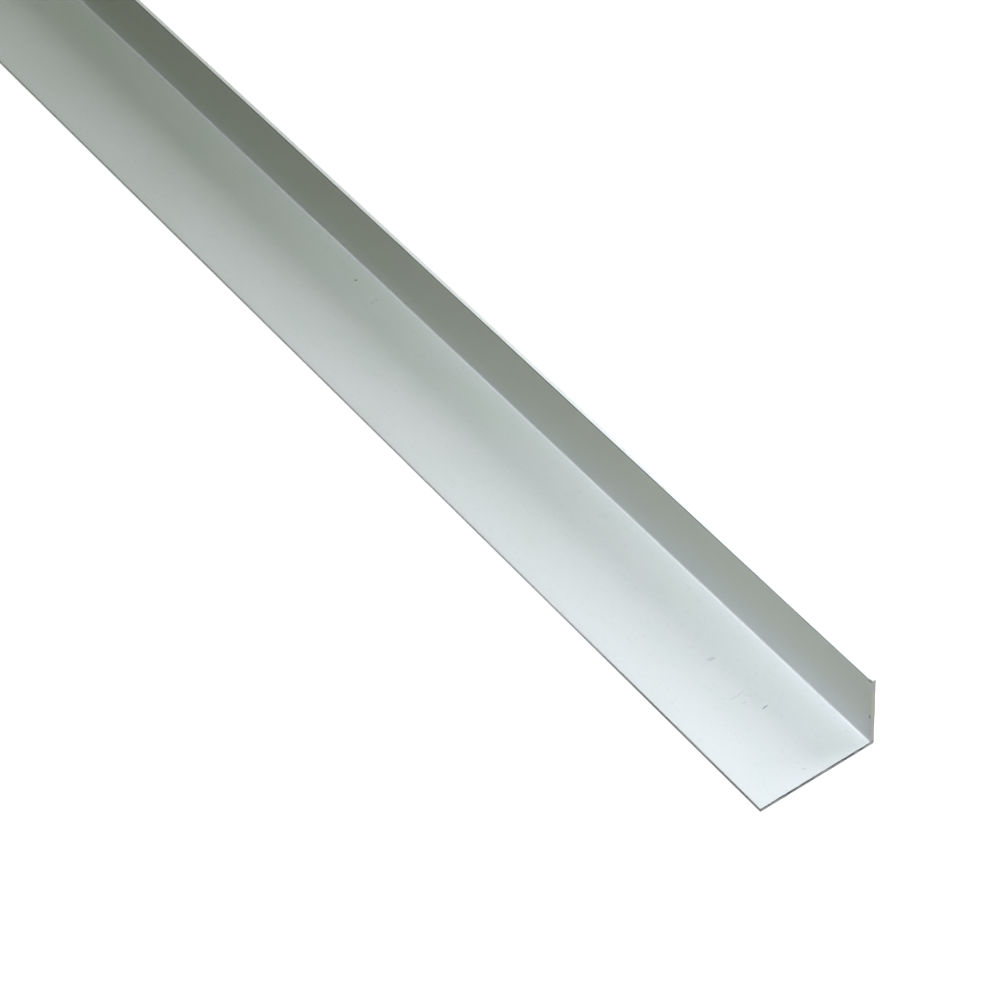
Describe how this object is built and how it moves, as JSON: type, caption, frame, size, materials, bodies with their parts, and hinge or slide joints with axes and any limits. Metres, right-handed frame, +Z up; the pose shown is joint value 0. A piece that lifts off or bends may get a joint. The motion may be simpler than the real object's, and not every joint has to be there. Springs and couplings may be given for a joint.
{
  "type": "pvc angle profile",
  "caption": "Rigid PVC angle profile with a wide and a narrow flange of even wall at a right angle, sawn square at both ends; for edging, covering and bracing corners.",
  "frame": {"origin": "on the resting face, at mid-length and at the middle of the wide flange's width", "axes": "+X along the length, +Y from the wide flange's free edge to the standing narrow flange, +Z up off the resting face"},
  "size_m": [1, 0.03, 0.02],
  "materials": {
    "pvc": "satin"
  },
  "bodies": {
    "root": {"angle_profile": "pvc"}
  },
  "joints": []
}
